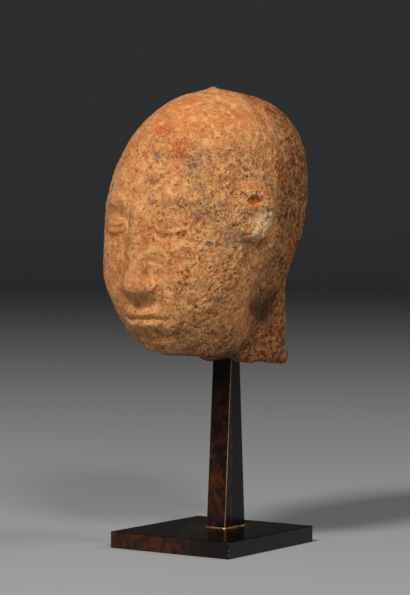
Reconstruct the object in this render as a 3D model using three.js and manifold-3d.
// Akan terracotta head on its metal stand: a hand-modelled head of fired clay, broken off at the neck, let
// down onto the top of a tapering metal post that stands on a flat rectangular plate.
// Millimetres, +Z up. The face looks along -Y, and the origin is the middle of the plate's underside.
import * as THREE from "three";
import { mergeVertices } from "three/addons/utils/BufferGeometryUtils.js";
import Module from "manifold-3d";

const wasm = await Module();
wasm.setup();

// Driving dimensions of the plate
const PLATE_WIDTH = 85;
const PLATE_DEPTH = 93.5;
const PLATE_THICKNESS = 10;
const PLATE_CORNER = 0.8;
const EDGE_CHAMFER = 0.5;

// Driving dimensions of the post, which tapers from front to back only
const POST_WIDTH = 13.6;
const POST_FOOT_DEPTH = 22.2;
const POST_NECK_DEPTH = 9.3;
const POST_SHOWN_HEIGHT = 104;
const POST_IN_HEAD = 16;
const POST_SETBACK = 14.2;
const SOCKET_GAP = 0.3;

// Driving dimensions of the head
const CHIN_HEIGHT = 112;
const CROWN_HEIGHT = 275;
const HEAD_WIDTH = 98;
const HEAD_FRONT = 79;
const HEAD_BACK = 63.5;
const NECK_RADIUS = 28.3;
const NECK_TAPER = 1.8;
const NECK_FLARE = 0.7;
const NECK_SETBACK = 30.5;
const BREAK_HEIGHT = 109.5;
const BREAK_SLOPE = 0.08;
const EAR_HEIGHT = 35.5;
const EAR_DEPTH = 25.5;
const EAR_THICKNESS = 9.2;
const EAR_RIM = 6;
const EAR_STAND_OFF_DEG = 29;
const EAR_LEAN_DEG = 9;

// Face proportions by the drawing-book rule: eyes halfway up the head, the nose ends halfway between eyes and
// chin, the mouth lies a third of the way from nose to chin, and the head is five eyes wide.
const HEAD_HEIGHT = CROWN_HEIGHT - CHIN_HEIGHT;
const EYE_LINE = CHIN_HEIGHT + HEAD_HEIGHT / 2;
const NOSE_BASE = CHIN_HEIGHT + HEAD_HEIGHT / 4;
const MOUTH_LINE = CHIN_HEIGHT + HEAD_HEIGHT / 6;
const EYE_WIDTH = HEAD_WIDTH / 5;
const BROW_LINE = EYE_LINE + EYE_WIDTH * 0.66;
const LID_HEIGHT = EYE_WIDTH * 0.27;
const MOUTH_HALF = EYE_WIDTH * 0.85;

const v3 = (x, y, z) => new THREE.Vector3(x, y, z);
const bell = (t, width) => Math.exp(-((t / width) ** 2));
const clamp01 = (t) => Math.min(1, Math.max(0, t));

// Signed distances, negative inside the clay. A fullness over 2 makes an ellipsoid fuller at its corners, and
// its lower half can be longer than its upper half.
function ellipsoid(p, { centre, radii, fullness = 2, lowRadius = radii.z }) {
  const away = [p.x - centre.x, p.y - centre.y, p.z - centre.z];
  const reach = [radii.x, radii.y, away[2] > 0 ? radii.z : lowRadius];
  const parts = away.map((part, i) => Math.abs(part) / reach[i]);
  const size = Math.max(parts.reduce((sum, part) => sum + part ** fullness, 0) ** (1 / fullness), 1e-6);
  const slopes = parts.map((part, i) => (part / size) ** (fullness - 1) / reach[i]);
  return (size - 1) / Math.hypot(...slopes);
}

function taperedRod(p, start, end, startRadius, endRadius) {
  const along = end.clone().sub(start);
  const t = clamp01(p.clone().sub(start).dot(along) / along.lengthSq());
  const nearest = start.clone().addScaledVector(along, t);
  return p.distanceTo(nearest) - THREE.MathUtils.lerp(startRadius, endRadius, t);
}

function blend(a, b, reach) {
  const h = Math.max(reach - Math.abs(a - b), 0) / reach;
  return Math.min(a, b) - (h * h * reach) / 4;
}

const carve = (a, b, reach) => -blend(-a, b, reach);

const mirrored = (p) => v3(Math.abs(p.x), p.y, p.z);

// The skull is a ball behind and an egg in front. The neck stands under the ball. Clay is pressed in under the
// jaw and on each side behind the jaw, so that the neck reads as a column.
const TEMPLE_RADIUS = HEAD_WIDTH / 2 - 1;
const BALL = {
  centre: v3(0, 7, CROWN_HEIGHT - 53),
  radii: v3(TEMPLE_RADIUS, HEAD_BACK - 7, 53),
  fullness: 2.3,
  lowRadius: 75,
};
const EGG = {
  centre: v3(0, -22, CHIN_HEIGHT + 72),
  radii: v3(TEMPLE_RADIUS, HEAD_FRONT - 22, 78),
  fullness: 2.2,
  lowRadius: 72,
};
const UNDER_JAW = { centre: v3(0, -12, CHIN_HEIGHT - 14), radii: v3(30, 26, 19) };
const BEHIND_JAW = { centre: v3(50, 0, 138), radii: v3(19, 25, 36) };
const NECK_TOP = v3(0, NECK_SETBACK, 165);
const NECK_FOOT = v3(0, NECK_SETBACK, 95);
const BALL_TO_EGG = 14;
const JAW_ROUNDING = 8;
const HOLLOW_ROUNDING = 10;
const NECK_FILLET = 12;

function skull(p) {
  const flare = NECK_FLARE * bell(p.z - BREAK_HEIGHT - 4, 9);
  const column = taperedRod(p, NECK_TOP, NECK_FOOT, NECK_RADIUS - NECK_TAPER, NECK_RADIUS + NECK_TAPER / 3);
  const cranium = blend(ellipsoid(p, BALL), ellipsoid(p, EGG), BALL_TO_EGG);
  const jaw = carve(cranium, ellipsoid(p, UNDER_JAW), JAW_ROUNDING);
  return blend(carve(jaw, ellipsoid(mirrored(p), BEHIND_JAW), HOLLOW_ROUNDING), column - flare, NECK_FILLET);
}

// Low relief of the face. A mound raises the clay round one place seen from the front, and a negative one
// presses it in.
const EYE_SOCKET = { height: -3, halfWidth: 13, halfHeight: 9 };
const BROW = { height: 1.7, halfWidth: 15, halfHeight: 4.6 };
const CHEEK = { height: 1.6, halfWidth: 13, halfHeight: 14 };
const MUZZLE = { height: 3.4, halfWidth: 18, halfHeight: 12 };
const CHIN = { height: 4.5, halfWidth: 12, halfHeight: 9 };
const EYEBALL_RISE = 3.2;
const LID_EDGE = { height: 0.8, halfHeight: 1.5 };
const EYE_SLIT = { height: -1.2, halfHeight: 1 };
const UPPER_LIP = { height: 2.5, halfHeight: 2.9, rise: 3.2 };
const LOWER_LIP = { height: 2.9, halfHeight: 3.3, rise: -3.7 };
const MOUTH_GAP = { height: -1.6, halfHeight: 1.2 };

const ridge = (rise, { height, halfHeight }) => height * bell(rise, halfHeight);
const mound = (sideways, rise, shape) => ridge(rise, shape) * bell(sideways, shape.halfWidth);

function eyeRelief(side, height) {
  const fromEye = side - EYE_WIDTH;
  const rise = height - EYE_LINE;
  const across = fromEye / (EYE_WIDTH / 2);
  const lidHeight = LID_HEIGHT * Math.sqrt(Math.max(0, 1 - across * across));
  const eyeball = EYEBALL_RISE * Math.sqrt(Math.max(0, 1 - across ** 2 - (rise / LID_HEIGHT) ** 2));
  const lidEdge = ridge(Math.abs(rise) - lidHeight, LID_EDGE) * clamp01(2.4 - 2 * Math.abs(across));
  const slitSag = LID_HEIGHT * 0.3 * (1 - across * across);
  const slit = ridge(rise + slitSag, EYE_SLIT) * clamp01(2.2 - 2 * Math.abs(across));
  return mound(fromEye, rise - 1, EYE_SOCKET) + eyeball + lidEdge + slit;
}

function mouthRelief(side, height) {
  const span = Math.max(0, 1 - (side / MOUTH_HALF) ** 2);
  const rise = height - MOUTH_LINE;
  const lips = ridge(rise - UPPER_LIP.rise, UPPER_LIP) + ridge(rise - LOWER_LIP.rise, LOWER_LIP);
  return mound(side, rise, MUZZLE) + span * lips + ridge(rise, MOUTH_GAP) * clamp01(span * 2.2);
}

function faceRelief(p) {
  const side = Math.abs(p.x);
  const browArc = BROW_LINE + 2 - 0.009 * (side - 17) ** 2;
  const brow = mound(side - EYE_WIDTH, p.z - browArc, BROW);
  const cheek = mound(side - EYE_WIDTH * 1.5, p.z - NOSE_BASE - 8, CHEEK);
  const chin = mound(side, p.z - CHIN_HEIGHT - 10, CHIN);
  return eyeRelief(side, p.z) + brow + cheek + mouthRelief(side, p.z) + chin;
}

const NOSE_BRIDGE = v3(0, -HEAD_FRONT + 2.5, EYE_LINE + 5);
const NOSE_TIP = v3(0, -HEAD_FRONT - 2, NOSE_BASE + 6.5);
const BRIDGE_RADIUS = 4;
const TIP_RADIUS = 6.6;
const NOSE_WING = {
  centre: v3(EYE_WIDTH * 0.34, -HEAD_FRONT + 3.2, NOSE_BASE + 4.8),
  radii: v3(4.8, 6, 4.6),
};
const NOSTRIL = {
  centre: v3(EYE_WIDTH * 0.2, -HEAD_FRONT + 1.5, NOSE_BASE + 0.8),
  radii: v3(2, 3, 2.2),
};

function nose(p) {
  const body = taperedRod(p, NOSE_BRIDGE, NOSE_TIP, BRIDGE_RADIUS, TIP_RADIUS);
  return carve(blend(body, ellipsoid(mirrored(p), NOSE_WING), 4), ellipsoid(mirrored(p), NOSTRIL), 2);
}

// Each ear is a thick oval leaf that leans back and stands off the head at its rear edge, over a channel
// pressed in behind it. A dish pressed into the leaf leaves a rim, and the left ear has lost a chip.
const EAR_CENTRE = v3(49.6, -32, 202);
const EAR_RADII = v3(EAR_THICKNESS, EAR_DEPTH, EAR_HEIGHT).multiplyScalar(0.5);
const earLean = THREE.MathUtils.degToRad(-EAR_LEAN_DEG);
const earStandOff = THREE.MathUtils.degToRad(-EAR_STAND_OFF_DEG);
const EAR_TURN_BACK = new THREE.Matrix4()
  .makeRotationFromEuler(new THREE.Euler(earLean, 0, earStandOff, "ZXY"))
  .invert();
const EAR_LEAF = { centre: v3(0, 0, 0), radii: EAR_RADII, fullness: 2.4 };
const EAR_CHANNEL = { centre: v3(-4.5, EAR_RADII.y + 3, -2), radii: v3(3, 4.5, EAR_RADII.z - 2) };
const EAR_DISH = {
  centre: v3(6, -1, -4.5),
  radii: v3(3.4, EAR_RADII.y - EAR_RIM, EAR_RADII.z - EAR_RIM - 3),
};
const EAR_CHIP = { centre: v3(3, -2.5, 5.5), radii: v3(2.6, 4.2, 3) };

function withEars(p, bare) {
  const q = mirrored(p).sub(EAR_CENTRE).applyMatrix4(EAR_TURN_BACK);
  const leaf = blend(carve(bare, ellipsoid(q, EAR_CHANNEL), 5), ellipsoid(q, EAR_LEAF), 3);
  const dished = carve(leaf, ellipsoid(q, EAR_DISH), 2.5);
  return p.x > 0 ? carve(dished, ellipsoid(q, EAR_CHIP), 1) : dished;
}

// Slow waves left by the modeller's hands
function handWaves(p) {
  const broad = Math.sin(p.x / 15 + 1.1) * Math.sin(p.y / 17 + 0.4) * Math.sin(p.z / 19 + 2.2);
  const small = Math.sin(p.x / 7 - p.z / 9) * Math.sin(p.y / 8 + p.z / 11 + 0.7);
  return 0.7 * broad + 0.25 * small;
}

function crownPeak(p) {
  const fromPeak = Math.hypot(p.x, p.y + 2);
  return p.z > BALL.centre.z ? 3.2 * Math.exp(-fromPeak / 5) : 0;
}

// The neck has snapped in an uneven, slightly hollow surface
function breakSurface(p) {
  const fromNeck = Math.hypot(p.x, p.y - NECK_SETBACK);
  const tilt = BREAK_SLOPE * (NECK_SETBACK - p.y);
  const uneven = 0.9 * Math.sin(p.x / 6 + 0.8) + 0.8 * Math.sin(p.y / 7 + p.x / 15 + 2);
  const hollow = 3.5 * bell(fromNeck, 18);
  return BREAK_HEIGHT + tilt + uneven + hollow - p.z;
}

function head(p) {
  const towardsFront = clamp01((EGG.centre.y - p.y) / 24) * clamp01((46 - Math.abs(p.x)) / 10);
  const raised = faceRelief(p) * towardsFront + crownPeak(p) + handWaves(p);
  const withNose = blend(skull(p) - raised, nose(p), 6);
  return carve(withEars(p, withNose), -breakSurface(p), 8);
}

// A ball of triangles is drawn in towards the face, so that it is finest there, and dropped onto the clay
const BALL_DETAIL = 20;
const FACE_PULL = 0.3;
const FACE_AXIS = v3(0, -0.94, -0.34).normalize();
const HEAD_MIDDLE = v3(0, -8, 190);
const EVENING_ROUNDS = 14;

function pullToFace(direction) {
  const cosine = direction.dot(FACE_AXIS);
  const pulled = (cosine + FACE_PULL) / (1 + FACE_PULL * cosine);
  const sideways = direction.clone().addScaledVector(FACE_AXIS, -cosine).normalize();
  return sideways.multiplyScalar(Math.sqrt(1 - pulled * pulled)).addScaledVector(FACE_AXIS, pulled);
}

function surfaceAlong(direction) {
  let inside = 0;
  let outside = 130;
  for (let step = 0; step < 18; step += 1) {
    const middle = (inside + outside) / 2;
    const isInside = head(HEAD_MIDDLE.clone().addScaledVector(direction, middle)) < 0;
    if (isInside) inside = middle;
    else outside = middle;
  }
  return HEAD_MIDDLE.clone().addScaledVector(direction, inside);
}

function slopeAt(p) {
  const step = 0.2;
  const rise = (axis) => {
    const ahead = p.clone();
    const behind = p.clone();
    ahead[axis] += step;
    behind[axis] -= step;
    return (head(ahead) - head(behind)) / (2 * step);
  };
  return v3(rise("x"), rise("y"), rise("z"));
}

function dropOntoClay(p) {
  for (let step = 0; step < 4; step += 1) {
    const slope = slopeAt(p);
    p.addScaledVector(slope, -head(p) / Math.max(slope.lengthSq(), 0.5));
  }
  return Math.abs(head(p)) < 0.1 ? p : surfaceAlong(p.sub(HEAD_MIDDLE).normalize());
}

function neighbourLists(index, count) {
  const lists = Array.from({ length: count }, () => new Set());
  for (let i = 0; i < index.count; i += 3) {
    const corners = [0, 1, 2].map((k) => index.getX(i + k));
    for (const a of corners) for (const b of corners) if (a !== b) lists[a].add(b);
  }
  return lists;
}

// How strongly a place draws its neighbours closer, so that the ears and the broken edge get finer triangles
function pullOf(p) {
  const fromEar = mirrored(p).distanceTo(EAR_CENTRE);
  const fromBreak = p.y > 0 ? p.z - BREAK_HEIGHT : 60;
  return 1 + 0.8 * bell(fromEar, 20) + 0.8 * bell(fromBreak, 10);
}

function evenOut(points, neighbours) {
  let current = points;
  for (let round = 0; round < EVENING_ROUNDS; round += 1) {
    const pulls = current.map(pullOf);
    current = current.map((p, i) => {
      const mean = v3(0, 0, 0);
      let total = 0;
      for (const j of neighbours[i]) {
        mean.addScaledVector(current[j], pulls[j]);
        total += pulls[j];
      }
      return dropOntoClay(mean.divideScalar(total).lerp(p, 0.4));
    });
  }
  return current;
}

function headGeometry() {
  const ball = new THREE.IcosahedronGeometry(1, BALL_DETAIL);
  ball.deleteAttribute("normal");
  ball.deleteAttribute("uv");
  const skin = mergeVertices(ball, 1e-5);
  const place = skin.getAttribute("position");
  const start = Array.from({ length: place.count }, (_, i) =>
    surfaceAlong(pullToFace(v3(0, 0, 0).fromBufferAttribute(place, i).normalize())),
  );
  evenOut(start, neighbourLists(skin.index, place.count)).forEach((p, i) => place.setXYZ(i, p.x, p.y, p.z));
  return skin;
}

// A bar through rings of points that all have the same count, closed at both ends
function loftGeometry(rings) {
  const count = rings[0].length;
  const points = rings.flat();
  const faces = [];
  for (let r = 0; r + 1 < rings.length; r += 1) {
    for (let i = 0; i < count; i += 1) {
      const a = r * count + i;
      const b = r * count + ((i + 1) % count);
      faces.push(a, b, b + count, a, b + count, a + count);
    }
  }
  const last = (rings.length - 1) * count;
  for (let i = 1; i + 1 < count; i += 1) faces.push(0, i + 1, i, last, last + i, last + i + 1);
  return new THREE.BufferGeometry().setFromPoints(points).setIndex(faces);
}

function chamferedRing(width, depth, corner, z) {
  const [x, y] = [width / 2, depth / 2];
  return [
    [x, -y + corner],
    [x, y - corner],
    [x - corner, y],
    [-x + corner, y],
    [-x, y - corner],
    [-x, -y + corner],
    [-x + corner, -y],
    [x - corner, -y],
  ].map(([px, py]) => v3(px, py, z));
}

function plateGeometry() {
  const ring = (inset, z) => chamferedRing(PLATE_WIDTH - 2 * inset, PLATE_DEPTH - 2 * inset, PLATE_CORNER, z);
  return loftGeometry([
    ring(EDGE_CHAMFER, 0),
    ring(0, EDGE_CHAMFER),
    ring(0, PLATE_THICKNESS - EDGE_CHAMFER),
    ring(EDGE_CHAMFER, PLATE_THICKNESS),
  ]);
}

// The post's section at a height above the plate, grown on all sides by a gap for its socket
function postRing(height, gap) {
  const depth = THREE.MathUtils.lerp(POST_FOOT_DEPTH, POST_NECK_DEPTH, height / POST_SHOWN_HEIGHT);
  return chamferedRing(POST_WIDTH + 2 * gap, depth + 2 * gap, EDGE_CHAMFER, height);
}

const POST_HEIGHT = POST_SHOWN_HEIGHT + POST_IN_HEAD;
const postGeometry = () => loftGeometry([postRing(0, 0), postRing(POST_HEIGHT, 0)]);

function socketGeometry() {
  const low = POST_SHOWN_HEIGHT - 30;
  const top = postRing(POST_HEIGHT + SOCKET_GAP, SOCKET_GAP);
  return loftGeometry([postRing(low, SOCKET_GAP), top]);
}

// Solids for cutting, and back to a geometry
function solidFrom(geometry) {
  return new wasm.Manifold(
    new wasm.Mesh({
      numProp: 3,
      vertProperties: Float32Array.from(geometry.getAttribute("position").array),
      triVerts: Uint32Array.from(geometry.index.array),
    }),
  );
}

function geometryFrom(solid) {
  const cut = solid.getMesh();
  return new THREE.BufferGeometry()
    .setAttribute("position", new THREE.BufferAttribute(Float32Array.from(cut.vertProperties), 3))
    .setIndex(new THREE.BufferAttribute(Uint32Array.from(cut.triVerts), 1));
}

const terracotta = new THREE.MeshStandardMaterial({ color: 0xb87842, roughness: 0.95, metalness: 0 });
const darkPatina = new THREE.MeshStandardMaterial({ color: 0x2a1d15, roughness: 0.35, metalness: 0.9 });

function named(name, geometry, material) {
  geometry.computeVertexNormals();
  const mesh = new THREE.Mesh(geometry, material);
  mesh.name = name;
  return mesh;
}

const postSeat = v3(0, POST_SETBACK, PLATE_THICKNESS);
const socket = solidFrom(socketGeometry().translate(postSeat.x, postSeat.y, postSeat.z));
const clay = solidFrom(headGeometry()).subtract(socket);

const figure = new THREE.Group();
const post = named("post", postGeometry(), darkPatina);
post.position.copy(postSeat);
figure.add(named("base_plate", plateGeometry(), darkPatina), post);
figure.add(named("head", geometryFrom(clay), terracotta));

export default figure;
